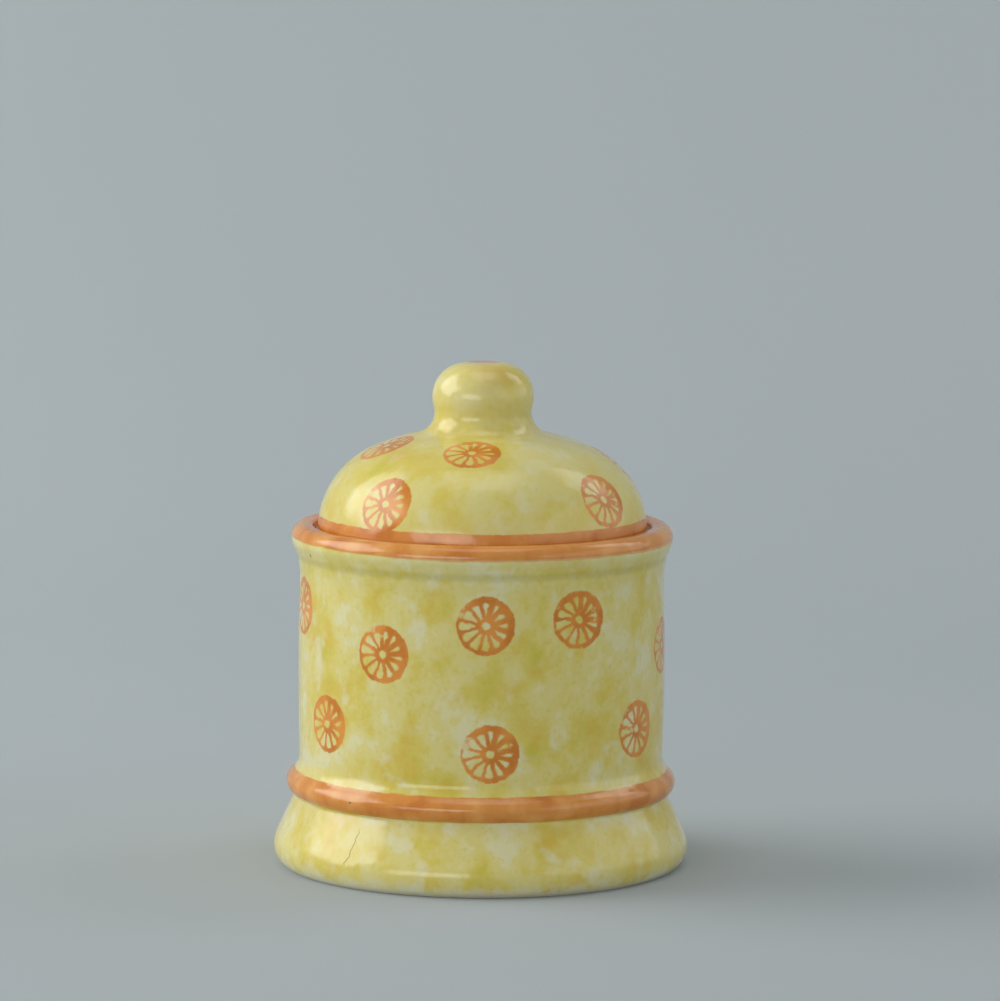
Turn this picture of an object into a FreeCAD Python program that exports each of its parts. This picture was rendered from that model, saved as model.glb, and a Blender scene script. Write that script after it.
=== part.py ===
"""A lidded jam pot in glazed earthenware, as a parametric document.

Two pieces, both turned about the vertical axis: the pot, with a spread foot, an applied
bead, a slightly bellied barrel and a rolled lip whose inside is a gallery for the lid, and
the domed lid, with a knob, a locating flange that drops into the mouth, and a notch at the
back for the handle of a jam spoon.

Frame: millimetres, +Z up, the origin on the axis at the table, the front towards -Y.
"""

import FreeCAD, Part
import math
import os
from types import SimpleNamespace

import Sketcher

NODE_FOLDER = "parts"
FULL_TURN = 360.0
NEAR = 0.01  # how closely an edge has to lie at a place to be the one meant

SIZES = {
    # the pot as a whole
    "barrel_radius": 44.15,
    "rim_top": 82.32,           # height of the lip's crest
    "wall": 4.5,
    # the foot
    "foot_spread": 5.85,        # how far the foot stands out past the barrel
    "foot_bulge_height": 4.4,   # height of the foot's widest part
    "foot_undercut": 2.5,       # from there in to the ring that stands on the table
    "foot_ring_width": 6.5,
    "foot_shoulder": 6.7,       # rounding above the widest part
    "base_recess": 3.0,         # hollow under the base, inside the ring
    "recess_draft": 1.5,        # how far the recess narrows on its way up
    # the applied bead
    "bead_height": 20.0,
    "bead_radius": 2.95,
    "bead_stand": 2.8,          # how far the bead stands out past the barrel
    "bead_crease": 0.6,         # rounding of the crease between foot and bead
    "crease_below": 0.2,        # how far below the bead that rounding has its centre
    "bead_cove": 5.0,           # hollow curve from bead to barrel
    # the barrel
    "belly_height": 47.5,       # height at which the barrel is widest
    "belly_curve": 810.0,       # radius of the slight belly
    "floor_thickness": 5.0,
    "floor_corner": 10.0,
    # the lip and the gallery inside it
    "lip_stand": 1.75,          # how far the lip stands out past the barrel
    "lip_band": 0.65,           # height of the lip's upright band
    "lip_round": 2.87,          # roundings below and above that band
    "lip_cove": 19.0,           # hollow curve from barrel to lip
    "lip_fall": 6.0,            # degrees that the rim's top falls inwards
    "rim_width": 5.3,           # from the lip's edge in to the gallery
    "seat_drop": 1.92,          # from the lip's crest down to the ledge for the lid
    "ledge_width": 5.0,
    "mouth_depth": 4.0,
    "mouth_flare": 5.5,         # height over which the mouth widens to the inner wall
    # the lid
    "lid_play": 0.9,            # clearance round the lid's edge in the gallery
    "lid_edge_round": 1.6,      # rounding under the lid's edge
    "lid_shoulder": 22.0,       # radius of the dome's sides
    "lid_crown": 69.0,          # radius of the dome's top
    "lid_wall": 4.5,
    "lid_haunch": 16.0,         # inner rounding between flange and crown
    "flange_play": 1.2,         # clearance of the flange in the mouth
    "flange_wall": 3.2,
    "flange_depth": 4.6,
    # the knob
    "neck_cove": 5.2,
    "knob_reach": 12.24,
    "knob_round": 8.1,
    "knob_lift": 7.04,          # from the dome's top up to the knob's widest part
    # the spoon notch
    "notch_width": 12.0,
    "notch_height": 9.0,        # above the seat
    "notch_turn": 14.0,         # degrees that the lid is turned from straight back
    # softened edges
    "soft_edge": 0.8,
    "soft_notch": 0.6,
}

doc = FreeCAD.newDocument("jam_pot")


class Size:
    """A length worked out from the sheet: its value now, and the formula that keeps it so."""

    def __init__(self, value, formula):
        self.value = float(value)
        self.formula = formula

    def joined(self, sign, other, value):
        """This size joined to another one, or to a plain number, by a sign."""
        formula = other.formula if isinstance(other, Size) else str(other)
        return Size(value, f"({self.formula} {sign} {formula})")

    def __add__(self, other):
        return self.joined("+", other, self.value + float(other))

    def __sub__(self, other):
        return self.joined("-", other, self.value - float(other))

    def __mul__(self, other):
        return self.joined("*", other, self.value * float(other))

    def __truediv__(self, other):
        return self.joined("/", other, self.value / float(other))

    def __float__(self):
        return self.value

    def root(self):
        """The square root."""
        return Size(math.sqrt(self.value), f"sqrt({self.formula})")


def make_sheet(sizes):
    """The driving sizes, one row each: the name, and its value under an alias."""
    sheet = doc.addObject("Spreadsheet::Sheet", "sizes")
    for row, (name, value) in enumerate(sizes.items(), start=1):
        sheet.set(f"A{row}", name)
        sheet.set(f"B{row}", str(value))
        sheet.setAlias(f"B{row}", name)
    doc.recompute()
    return sheet


def work_out(sheet, names):
    """The sheet's sizes, and the ones that both pieces share and that follow from them."""
    s = SimpleNamespace(**{name: Size(getattr(sheet, name), f"sizes.{name}") for name in names})
    s.foot_radius = s.barrel_radius + s.foot_spread
    s.ring_radius = s.foot_radius - s.foot_undercut
    s.ring_inside = s.ring_radius - s.foot_ring_width
    s.inner_radius = s.barrel_radius - s.wall
    s.lip_reach = s.barrel_radius + s.lip_stand
    s.lip_height = s.rim_top - s.lip_round - s.lip_band
    s.gallery_radius = s.lip_reach - s.rim_width
    s.seat = s.rim_top - s.seat_drop
    s.mouth_radius = s.gallery_radius - s.ledge_width
    s.lid_radius = s.gallery_radius - s.lid_play
    s.flange_radius = s.mouth_radius - s.flange_play
    s.flange_inside = s.flange_radius - s.flange_wall
    s.flange_foot = s.seat - s.flange_depth
    s.shoulder_across = s.lid_radius - s.lid_shoulder
    spare = s.lid_crown - s.lid_shoulder
    s.crown_height = s.seat - (spare * spare - s.shoulder_across * s.shoulder_across).root()
    return s


def make_body(label):
    """An empty body whose label names its file."""
    body = doc.addObject("PartDesign::Body", label)
    body.Label = label
    return body


def toward(start, goal):
    """The angle, in degrees, in which goal lies from start."""
    across, up = float(goal[0]) - float(start[0]), float(goal[1]) - float(start[1])
    return math.degrees(math.atan2(up, across))


def leg(long_side, other_leg):
    """The second short side of a right-angled triangle."""
    return math.sqrt(float(long_side) ** 2 - float(other_leg) ** 2)


class Outline:
    """A closed outline in a sketch on a body's own XZ plane: x is the radius, y the height.

    Each piece starts where the last one ends. The drawn places are first guesses, and the
    constraints, bound to the sheet, then settle them.
    """

    START, END, CENTRE = 1, 2, 3
    LEVEL_AXIS, UPRIGHT_AXIS = -1, -2

    def __init__(self, body, name):
        self.sketch = body.newObject("Sketcher::SketchObject", name)
        plane = [item for item in body.Origin.OriginFeatures if item.Role == "XZ_Plane"][0]
        self.sketch.AttachmentSupport = [(plane, "")]
        self.sketch.MapMode = "FlatFace"
        self.pieces = []
        self.sharp = set()
        self.measures = 0

    def line(self, start, end, level=False, upright=False, sharp=True):
        """A straight piece, with a corner at its end unless it isn't sharp."""
        ends = [FreeCAD.Vector(float(across), float(up), 0) for across, up in (start, end)]
        number = self.sketch.addGeometry(Part.LineSegment(*ends), False)
        self.pieces.append((number, self.START, self.END))
        if level:
            self.rule("Horizontal", number)
        if upright:
            self.rule("Vertical", number)
        if sharp:
            self.sharp.add(number)
        return number

    def arc(self, centre, radius, first, last, hollow=False, sharp=False):
        """A round piece, from angle first up to angle last. A hollow one is drawn backwards."""
        middle = FreeCAD.Vector(float(centre[0]), float(centre[1]), 0)
        circle = Part.Circle(middle, FreeCAD.Vector(0, 0, 1), float(radius))
        shape = Part.ArcOfCircle(circle, math.radians(first), math.radians(last))
        number = self.sketch.addGeometry(shape, False)
        ends = (self.END, self.START) if hollow else (self.START, self.END)
        self.pieces.append((number, *ends))
        if sharp:
            self.sharp.add(number)
        return number

    def close_on_axis(self, top, bottom):
        """Closes the outline down the axis and joins each piece to the next."""
        axis = self.line((0, top), (0, bottom))
        self.rule("PointOnObject", axis, self.START, self.UPRIGHT_AXIS)
        self.rule("PointOnObject", axis, self.END, self.UPRIGHT_AXIS)
        self.close()

    def close(self):
        """Joins each piece to the next, smoothly where no corner is meant."""
        for place, (number, _, leave) in enumerate(self.pieces):
            following, enter, _ = self.pieces[(place + 1) % len(self.pieces)]
            kind = "Coincident" if number in self.sharp else "Tangent"
            self.rule(kind, number, leave, following, enter)

    def rule(self, kind, *parts):
        """A constraint without a value."""
        self.sketch.addConstraint(Sketcher.Constraint(kind, *parts))

    def measure(self, kind, parts, size):
        """A constraint whose value follows a size's formula."""
        number = self.sketch.addConstraint(Sketcher.Constraint(kind, *parts, float(size)))
        self.measures += 1
        name = f"size{self.measures}"
        self.sketch.renameConstraint(number, name)
        self.sketch.setExpression(f"Constraints.{name}", size.formula)

    def across(self, number, point, size):
        """Sets a point's distance from the axis."""
        self.measure("DistanceX", (-1, 1, number, point), size)

    def behind(self, number, point, size):
        """Sets a point's distance from the axis, on the far side of it."""
        self.measure("DistanceX", (number, point, -1, 1), size)

    def up(self, number, point, size):
        """Sets a point's height above the table."""
        self.measure("DistanceY", (-1, 1, number, point), size)

    def radius(self, number, size):
        """Sets an arc's radius."""
        self.measure("Radius", (number,), size)

    def lean(self, number, size):
        """Sets a line's angle from level, in degrees."""
        degrees = Size(math.radians(float(size)), size.formula)
        self.measure("Angle", (number,), degrees)


def turned(body, kind, name, form):
    """A full turn of an outline about the axis: a Revolution adds and a Groove cuts."""
    feature = body.newObject(f"PartDesign::{kind}", name)
    feature.Profile = form.sketch
    feature.ReferenceAxis = (form.sketch, ["V_Axis"])
    feature.Angle = FULL_TURN
    return feature


def soften(body, name, base, edges, radius):
    """Rounds the named edges of a body's last feature."""
    feature = body.newObject("PartDesign::Fillet", name)
    feature.Base = (base, edges)
    feature.Radius = float(radius)
    feature.setExpression("Radius", radius.formula)
    doc.recompute()
    return feature


def edges_where(feature, wanted):
    """The names of a feature's edges whose middle point is wanted."""
    names = []
    for number, edge in enumerate(feature.Shape.Edges, start=1):
        if wanted(edge.valueAt((edge.FirstParameter + edge.LastParameter) / 2)):
            names.append(f"Edge{number}")
    if not names:
        raise SystemExit(f"{feature.Name} has none of the edges to round")
    return names


def rings(feature, *places):
    """The names of a feature's level rings at the given (radius, height) places."""

    def at_a_place(middle):
        across = math.hypot(middle.x, middle.y)
        return any(
            abs(across - float(radius)) < NEAR and abs(middle.z - float(height)) < NEAR
            for radius, height in places
        )

    return edges_where(feature, at_a_place)


def check_cut(before, after):
    """Stops the build where a cut took nothing away."""
    doc.recompute()
    if after.Shape.Volume > before.Shape.Volume - 1.0:
        raise SystemExit(f"{after.Name} cut nothing")


def rim_height(s, radius):
    """The height of the rim's falling top at a radius inside the lip."""
    fall = math.radians(float(s.lip_fall))
    inward = float(s.lip_reach - s.lip_round - radius)
    drop = inward * math.sin(fall)
    return float(s.lip_height + s.lip_band) + (float(s.lip_round) - drop) / math.cos(fall)


def pot_form(body, s):
    """The outer form of the pot, solid to the axis: foot, bead, barrel and lip."""
    form = Outline(body, "pot_outline")
    undercut, bulge = float(s.foot_undercut), float(s.foot_bulge_height)
    edge_round = (undercut**2 + bulge**2) / (2 * undercut)
    round_centre = (s.foot_radius - s.foot_shoulder, s.foot_bulge_height)
    bead_centre = (s.barrel_radius + s.bead_stand - s.bead_radius, s.bead_height)
    crease_height = s.bead_height - s.bead_radius - s.crease_below
    crease_reach = leg(s.bead_radius + s.bead_crease, s.bead_height - crease_height)
    crease_centre = (bead_centre[0] + crease_reach, crease_height)
    crease_turn = toward(crease_centre, bead_centre)
    foot_gap = math.hypot(
        float(crease_centre[0] - round_centre[0]), float(crease_centre[1] - round_centre[1])
    )
    touch = math.degrees(math.acos(float(s.foot_shoulder + s.bead_crease) / foot_gap))
    lean = toward(round_centre, crease_centre) - touch

    def beside(centre, radius, angle):
        turn = math.radians(angle)
        return (centre[0] + radius * math.cos(turn), centre[1] + radius * math.sin(turn))

    cove_across = s.barrel_radius + s.bead_cove
    cove_rise = leg(s.bead_radius + s.bead_cove, cove_across - bead_centre[0])
    cove_centre = (cove_across, s.bead_height + cove_rise)
    cove_turn = toward(bead_centre, cove_centre)
    lip_centre = (s.lip_reach - s.lip_round, s.lip_height)
    lip_across = s.barrel_radius + s.lip_cove
    lip_drop = leg(s.lip_round + s.lip_cove, lip_across - lip_centre[0])
    lip_cove_centre = (lip_across, s.lip_height - lip_drop)
    lip_turn = toward(lip_cove_centre, lip_centre)
    belly_centre = (s.barrel_radius - s.belly_curve, s.belly_height)
    rim_inner = (s.gallery_radius, rim_height(s, s.gallery_radius))
    rim_outer = beside((lip_centre[0], s.lip_height + s.lip_band), s.lip_round, 90.0)

    base = form.line((0, 0), (s.ring_radius, 0), level=True)
    under = -math.degrees(math.asin(bulge / edge_round))
    foot_edge = form.arc((s.foot_radius - edge_round, bulge), edge_round, under, 0.0)
    foot_round = form.arc(round_centre, s.foot_shoulder, 0.0, lean)
    form.line(
        beside(round_centre, s.foot_shoulder, lean),
        beside(crease_centre, s.bead_crease, 180.0 + lean),
        sharp=False,
    )
    crease = form.arc(crease_centre, s.bead_crease, crease_turn, 180.0 + lean, hollow=True)
    bead = form.arc(bead_centre, s.bead_radius, crease_turn - 180.0, cove_turn)
    cove = form.arc(cove_centre, s.bead_cove, 180.0, 180.0 + cove_turn, hollow=True)
    belly = form.arc(
        belly_centre,
        s.belly_curve,
        toward(belly_centre, (s.barrel_radius, cove_centre[1])),
        toward(belly_centre, (s.barrel_radius, lip_cove_centre[1])),
    )
    lip_cove = form.arc(lip_cove_centre, s.lip_cove, lip_turn, 180.0, hollow=True)
    lip_under = form.arc(lip_centre, s.lip_round, lip_turn - 180.0, 0.0)
    lip_edge = [(s.lip_reach, s.lip_height), (s.lip_reach, s.lip_height + s.lip_band)]
    form.line(*lip_edge, upright=True, sharp=False)
    lip_over = form.arc(
        (lip_centre[0], s.lip_height + s.lip_band), s.lip_round, 0.0, 90.0 + float(s.lip_fall)
    )
    rim = form.line(rim_outer, rim_inner)
    form.line(rim_inner, (0, rim_inner[1]), level=True)
    form.close_on_axis(rim_inner[1], 0)

    form.rule("PointOnObject", base, form.START, form.LEVEL_AXIS)
    form.across(base, form.END, s.ring_radius)
    form.rule("Horizontal", foot_edge, form.CENTRE, foot_edge, form.END)
    form.across(foot_edge, form.END, s.foot_radius)
    form.up(foot_edge, form.END, s.foot_bulge_height)
    form.radius(foot_round, s.foot_shoulder)
    form.radius(crease, s.bead_crease)
    form.up(crease, form.CENTRE, crease_height)
    form.radius(bead, s.bead_radius)
    form.across(bead, form.CENTRE, bead_centre[0])
    form.up(bead, form.CENTRE, s.bead_height)
    form.radius(cove, s.bead_cove)
    form.radius(belly, s.belly_curve)
    form.behind(belly, form.CENTRE, s.belly_curve - s.barrel_radius)
    form.up(belly, form.CENTRE, s.belly_height)
    form.radius(lip_cove, s.lip_cove)
    form.radius(lip_under, s.lip_round)
    form.across(lip_under, form.CENTRE, lip_centre[0])
    form.up(lip_under, form.CENTRE, s.lip_height)
    form.radius(lip_over, s.lip_round)
    form.up(lip_over, form.CENTRE, s.lip_height + s.lip_band)
    form.lean(rim, s.lip_fall + 180)
    form.across(rim, form.END, s.gallery_radius)
    return form


def pot_hollow(body, s):
    """The inside of the pot, from its rounded floor to the mouth, and the gallery above it."""
    form = Outline(body, "hollow_outline")
    floor = s.base_recess + s.floor_thickness
    corner = (s.inner_radius - s.floor_corner, floor + s.floor_corner)
    mouth_foot = s.seat - s.mouth_depth
    flare_foot = mouth_foot - s.mouth_flare
    above = s.rim_top + s.lip_round

    bottom = form.line((0, floor), (corner[0], floor), level=True, sharp=False)
    floor_arc = form.arc(corner, s.floor_corner, -90.0, 0.0)
    wall = form.line((s.inner_radius, corner[1]), (s.inner_radius, flare_foot), upright=True)
    form.line((s.inner_radius, flare_foot), (s.mouth_radius, mouth_foot))
    mouth = form.line((s.mouth_radius, mouth_foot), (s.mouth_radius, s.seat), upright=True)
    ledge = form.line((s.mouth_radius, s.seat), (s.gallery_radius, s.seat), level=True)
    form.line((s.gallery_radius, s.seat), (s.gallery_radius, above), upright=True)
    opening = form.line((s.gallery_radius, above), (0, above), level=True)
    form.close_on_axis(above, floor)

    form.up(bottom, form.START, floor)
    form.radius(floor_arc, s.floor_corner)
    form.across(wall, form.END, s.inner_radius)
    form.up(wall, form.END, flare_foot)
    form.across(mouth, form.START, s.mouth_radius)
    form.up(mouth, form.START, mouth_foot)
    form.up(ledge, form.START, s.seat)
    form.across(ledge, form.END, s.gallery_radius)
    form.up(opening, form.END, above)
    return form


def base_recess(body, s):
    """The shallow hollow under the base, inside the ring that stands on the table."""
    form = Outline(body, "recess_outline")
    narrow = s.ring_inside - s.recess_draft

    opening = form.line((0, 0), (s.ring_inside, 0), level=True)
    form.line((s.ring_inside, 0), (narrow, s.base_recess))
    ceiling = form.line((narrow, s.base_recess), (0, s.base_recess), level=True)
    form.close_on_axis(s.base_recess, 0)

    form.rule("PointOnObject", opening, form.START, form.LEVEL_AXIS)
    form.across(opening, form.END, s.ring_inside)
    form.up(ceiling, form.START, s.base_recess)
    form.across(ceiling, form.START, narrow)
    return form


def make_pot(s):
    """The pot: its turned form, hollowed from above and a little from below."""
    body = make_body("pot")
    solid = turned(body, "Revolution", "pot_form", pot_form(body, s))
    hollow = turned(body, "Groove", "pot_hollow", pot_hollow(body, s))
    recess = turned(body, "Groove", "pot_recess", base_recess(body, s))
    check_cut(solid, hollow)
    check_cut(hollow, recess)

    mouth_foot = s.seat - s.mouth_depth
    edges = rings(
        recess,
        (s.inner_radius, mouth_foot - s.mouth_flare),
        (s.mouth_radius, mouth_foot),
        (s.mouth_radius, s.seat),
        (s.gallery_radius, rim_height(s, s.gallery_radius)),
        (s.ring_radius, 0),
        (s.ring_inside, 0),
    )
    soften(body, "pot_soft_edges", recess, edges, s.soft_edge)
    return body


def lid_form(body, s):
    """The outer form of the lid, solid to the axis: flange, edge, dome, neck and knob."""
    form = Outline(body, "lid_outline")
    side_centre = (s.shoulder_across, s.seat)
    edge_across = leg(s.lid_shoulder - s.lid_edge_round, s.lid_edge_round)
    edge_centre = (s.shoulder_across + edge_across, s.seat + s.lid_edge_round)
    edge_turn = toward(side_centre, edge_centre)
    crown_centre = (0, s.crown_height)
    crown_low = toward(crown_centre, side_centre)
    knob_centre = (s.knob_reach - s.knob_round, s.crown_height + s.lid_crown + s.knob_lift)
    knob_top = knob_centre[1] + s.knob_round
    neck_centre = (s.knob_reach + s.neck_cove, s.crown_height + s.lid_crown)
    crown_high = toward(crown_centre, neck_centre)
    neck_turn = toward(neck_centre, knob_centre)

    foot = form.line((0, s.flange_foot), (s.flange_radius, s.flange_foot), level=True)
    flange_side = [(s.flange_radius, s.flange_foot), (s.flange_radius, s.seat)]
    flange = form.line(*flange_side, upright=True)
    rest = form.line((s.flange_radius, s.seat), (edge_centre[0], s.seat), level=True, sharp=False)
    edge = form.arc(edge_centre, s.lid_edge_round, -90.0, edge_turn)
    side = form.arc(side_centre, s.lid_shoulder, edge_turn, crown_low)
    crown = form.arc(crown_centre, s.lid_crown, crown_low, crown_high)
    neck = form.arc(neck_centre, s.neck_cove, neck_turn, 180.0 + crown_high, hollow=True)
    knob = form.arc(knob_centre, s.knob_round, neck_turn - 180.0, 90.0)
    form.line((knob_centre[0], knob_top), (0, knob_top), level=True)
    form.close_on_axis(knob_top, s.flange_foot)

    form.across(flange, form.START, s.flange_radius)
    form.up(foot, form.START, s.flange_foot)
    form.up(rest, form.START, s.seat)
    form.radius(edge, s.lid_edge_round)
    form.radius(side, s.lid_shoulder)
    form.across(side, form.CENTRE, s.shoulder_across)
    form.up(side, form.CENTRE, s.seat)
    form.radius(crown, s.lid_crown)
    form.rule("PointOnObject", crown, form.CENTRE, form.UPRIGHT_AXIS)
    form.radius(neck, s.neck_cove)
    form.radius(knob, s.knob_round)
    form.across(knob, form.CENTRE, knob_centre[0])
    form.up(knob, form.CENTRE, knob_centre[1])
    return form


def lid_hollow(body, s):
    """The inside of the lid: straight up inside the flange, then round under the crown."""
    form = Outline(body, "lid_hollow_outline")
    crown_centre = (0, s.crown_height)
    under = s.lid_crown - s.lid_wall
    haunch_across = s.flange_inside - s.lid_haunch
    haunch_rise = leg(under - s.lid_haunch, haunch_across)
    haunch_centre = (haunch_across, s.crown_height + haunch_rise)
    haunch_turn = toward(crown_centre, haunch_centre)

    form.line((0, s.flange_foot), (s.flange_inside, s.flange_foot), level=True)
    wall_ends = [(s.flange_inside, s.flange_foot), (s.flange_inside, haunch_centre[1])]
    wall = form.line(*wall_ends, upright=True, sharp=False)
    haunch = form.arc(haunch_centre, s.lid_haunch, 0.0, haunch_turn)
    crown = form.arc(crown_centre, under, haunch_turn, 90.0, sharp=True)
    form.close_on_axis(s.crown_height + under, s.flange_foot)

    form.across(wall, form.START, s.flange_inside)
    form.up(wall, form.START, s.flange_foot)
    form.radius(haunch, s.lid_haunch)
    form.radius(crown, under)
    form.rule("PointOnObject", crown, form.CENTRE, form.UPRIGHT_AXIS)
    form.up(crown, form.CENTRE, s.crown_height)
    return form


def notch_outline(body, s):
    """The spoon notch as seen from the back: upright sides under a half-round top."""
    form = Outline(body, "notch_outline")
    half = s.notch_width / 2
    left, right = float(half) * -1, float(half)
    below, spring = s.flange_foot - s.flange_depth, s.seat + s.notch_height - half

    bottom = form.line((left, below), (right, below), level=True)
    form.line((right, below), (right, spring), upright=True, sharp=False)
    top = form.arc((0, spring), half, 0.0, 180.0)
    form.line((left, spring), (left, below), upright=True)
    form.close()

    form.rule("PointOnObject", top, form.CENTRE, form.UPRIGHT_AXIS)
    form.radius(top, half)
    form.up(top, form.CENTRE, spring)
    form.up(bottom, form.START, below)
    return form


def make_lid(s):
    """The lid, hollowed, notched for the spoon and turned a little in its seat."""
    body = make_body("lid")
    solid = turned(body, "Revolution", "lid_form", lid_form(body, s))
    hollow = turned(body, "Groove", "lid_hollow", lid_hollow(body, s))
    check_cut(solid, hollow)
    flange_edges = rings(
        hollow, (s.flange_radius, s.flange_foot), (s.flange_inside, s.flange_foot)
    )
    flanged = soften(body, "flange_soft_edges", hollow, flange_edges, s.soft_edge)

    notch = body.newObject("PartDesign::Pocket", "spoon_notch")
    notch.Profile = notch_outline(body, s).sketch
    notch.Length = float(s.lid_radius * 2)
    notch.setExpression("Length", (s.lid_radius * 2).formula)
    check_cut(flanged, notch)

    half, out_of_flange = float(s.notch_width / 2), float(s.flange_radius + s.lid_radius) / 2

    def on_notch_mouth(middle):
        outside = math.hypot(middle.x, middle.y) > out_of_flange
        return outside and middle.y > 0 and abs(middle.x) < half + NEAR

    mouth_edges = edges_where(notch, on_notch_mouth)
    soften(body, "notch_soft_edges", notch, mouth_edges, s.soft_notch)
    body.Placement.Rotation = FreeCAD.Rotation(FreeCAD.Vector(0, 0, 1), float(s.notch_turn))
    body.setExpression("Placement.Rotation.Angle", s.notch_turn.formula)
    return body


def write_parts(bodies):
    """Checks every object, then writes each body's solid to its own file."""
    doc.recompute()
    for item in doc.Objects:
        if "Invalid" in item.State or "Error" in item.State:
            raise SystemExit(f"{item.Name} failed: {item.State}")
    for body in bodies:
        shape = body.Shape
        if shape.isNull() or not shape.isValid() or len(shape.Solids) != 1:
            raise SystemExit(f"{body.Label} isn't one sound solid")
    os.makedirs(NODE_FOLDER, exist_ok=True)
    for body in bodies:
        body.Shape.exportStep(os.path.join(NODE_FOLDER, f"{body.Label}.step"))
        print(f"{body.Label}: {body.Shape.Volume / 1000:.1f} cm3 of clay")


sizes = work_out(make_sheet(SIZES), SIZES)
write_parts([make_pot(sizes), make_lid(sizes)])
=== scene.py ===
"""A lidded jam pot in earthenware, turned, glazed in sponged yellow, banded in orange and
stamped with orange slices. Both pieces are turned anew from the outline of their CAD solid."""

import math

import bmesh
import bpy
import numpy as np
from mathutils import Matrix, Vector


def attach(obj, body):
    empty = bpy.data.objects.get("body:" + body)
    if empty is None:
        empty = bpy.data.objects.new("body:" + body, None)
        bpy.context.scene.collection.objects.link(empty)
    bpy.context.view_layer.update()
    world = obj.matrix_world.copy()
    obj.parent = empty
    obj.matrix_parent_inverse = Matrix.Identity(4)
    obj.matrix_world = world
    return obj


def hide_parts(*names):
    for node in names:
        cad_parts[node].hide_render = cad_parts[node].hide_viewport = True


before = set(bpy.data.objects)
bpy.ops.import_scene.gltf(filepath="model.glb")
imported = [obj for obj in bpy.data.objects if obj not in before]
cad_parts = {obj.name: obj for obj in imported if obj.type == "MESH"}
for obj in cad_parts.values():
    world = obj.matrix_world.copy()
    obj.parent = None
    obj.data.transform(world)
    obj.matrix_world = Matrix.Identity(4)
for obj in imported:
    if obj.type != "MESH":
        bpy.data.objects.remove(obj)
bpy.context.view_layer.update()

MM = 0.001
SAME = 1e-6                 # two places nearer than this are one

# the camera, far off and a little above
LENS = 197.8
SENSOR = 36.0
CAMERA_SIGHT = 50.0
CAMERA_FAR = 1320.0 * MM
CAMERA_AIM = Vector((4.2, 0.0, 87.75)) * MM
CAMERA_DOWN = math.radians(7.0)
CAMERA_ROLL = 0.0068

# turning the clay
AROUND = 240                # steps round each piece
PROFILE_STEP = 0.85 * MM    # steps along the outline, at most
CORNER = math.radians(28.0)         # an outline that turns more than this has an edge there
ARC_END = 2.2               # a stretch this many times as long as the next one is straight
SHARP = math.radians(38.0)  # faces that meet at more than this are shaded apart
WHEEL_RADIUS = 20.0 * MM    # of the circle that the outline is swept round
HAND_WOBBLE = 0.14 * MM     # how far a thrown wall strays inwards
WOBBLE_SIZE = 30.0 * MM
WOBBLE_RADIUS = 45.0 * MM   # the wobble is read round a cylinder of this radius
POT_SEED, LID_SEED = 3.0, 8.0
OUTSIDE = 42.0 * MM         # what lies farther out than this is the pot's outer wall
LIP_GROOVE = (74.8 * MM, 0.9 * MM, 0.16 * MM)   # height, half width and depth

# the spoon notch at the lid's back
NOTCH_TURN = math.radians(14.0)
NOTCH_HALF = 6.0 * MM
NOTCH_SPRING = 83.4 * MM    # where its sides end and its arch begins
NOTCH_LOW = 70.0 * MM
NOTCH_INNER, NOTCH_OUTER = 20.0 * MM, 45.0 * MM
NOTCH_SOFT = 0.8 * MM       # how far its edges are rolled over
ARCH_STEPS = 48

# the stamp and where it was pressed: (degrees from the front, towards +X, height, turn)
SLICE_RADIUS = 7.05 * MM
SEGMENTS = 12.0
MARK_REACH = 1.35           # how far round a stamp's centre its mark is kept, in its radii
MARK_DEPTH = 1.6            # and the same in all directions, so that the far wall stays clear
FAR_OFF = 9.0               # the mark where no stamp is near
POT_SLICES = [
    (-75.2, 63.6, 4), (-31.0, 55.6, -8), (2.0, 63.6, 0), (31.8, 64.7, 10), (77.8, 54.5, -3),
    (-56.2, 36.9, 6), (2.5, 33.2, -2), (57.0, 36.4, 5),
    (107.0, 30.9, 12), (118.0, 62.9, -6), (151.0, 45.4, 3), (178.0, 64.4, -12),
    (-170.0, 31.4, 8), (-143.0, 55.9, 0), (-118.0, 33.4, -9), (-106.0, 60.4, 7),
]
LID_SLICES = [
    (-74.0, 101.5, 15), (-6.0, 101.8, 0), (-37.8, 90.3, 0), (50.5, 91.2, -5),
    (95.0, 96.9, 8), (143.0, 99.9, -10), (-148.0, 93.9, 5), (-107.0, 91.4, -4),
]

# painted bands and other marks in the glaze, in millimetres
RIM_EDGE = (78.7, 79.05)            # the rim's paint begins between these heights
RIM_RAISED = 0.7                    # and this much higher at the left
RIM_INNER = (39.2, 39.5)            # inwards it ends between these radii
BEAD_LOW, BEAD_HIGH = (17.25, 17.55), (23.15, 23.45)
BEAD_INNER = (42.0, 42.4)
LID_EDGE_LOW, LID_EDGE_HIGH = (80.0, 80.2), (84.35, 84.65)
LID_EDGE_INNER = (36.3, 36.5)
DAB_MIDDLE = (0.5, 2.3, 0.0)        # the dab on top of the knob
DAB_RADIUS = (3.8, 4.2)
KNOB_TOP = (120.0, 120.4)
LINING = (40.1, 40.35)              # the pot's inside ends between these radii
BASE_SKIN = (0.3, 0.6)              # and the hollow base between these heights
OUTER_WALL = (42.0, 43.0)
CRACK_TURN = math.radians(-38.6)
CRACK_LOW, CRACK_HIGH = (5.2, 6.2), (13.4, 14.2)
PINHOLES = [                        # (degrees from the front, height, size, distance from the axis)
    (-63.8, 76.7, 0.28, 45.2), (-40.8, 20.2, 0.24, 46.9), (25.0, 71.5, 0.16, 44.1),
    (100.0, 48.0, 0.25, 44.1), (-150.0, 70.0, 0.22, 44.1), (165.0, 12.0, 0.26, 48.0),
]

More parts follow.
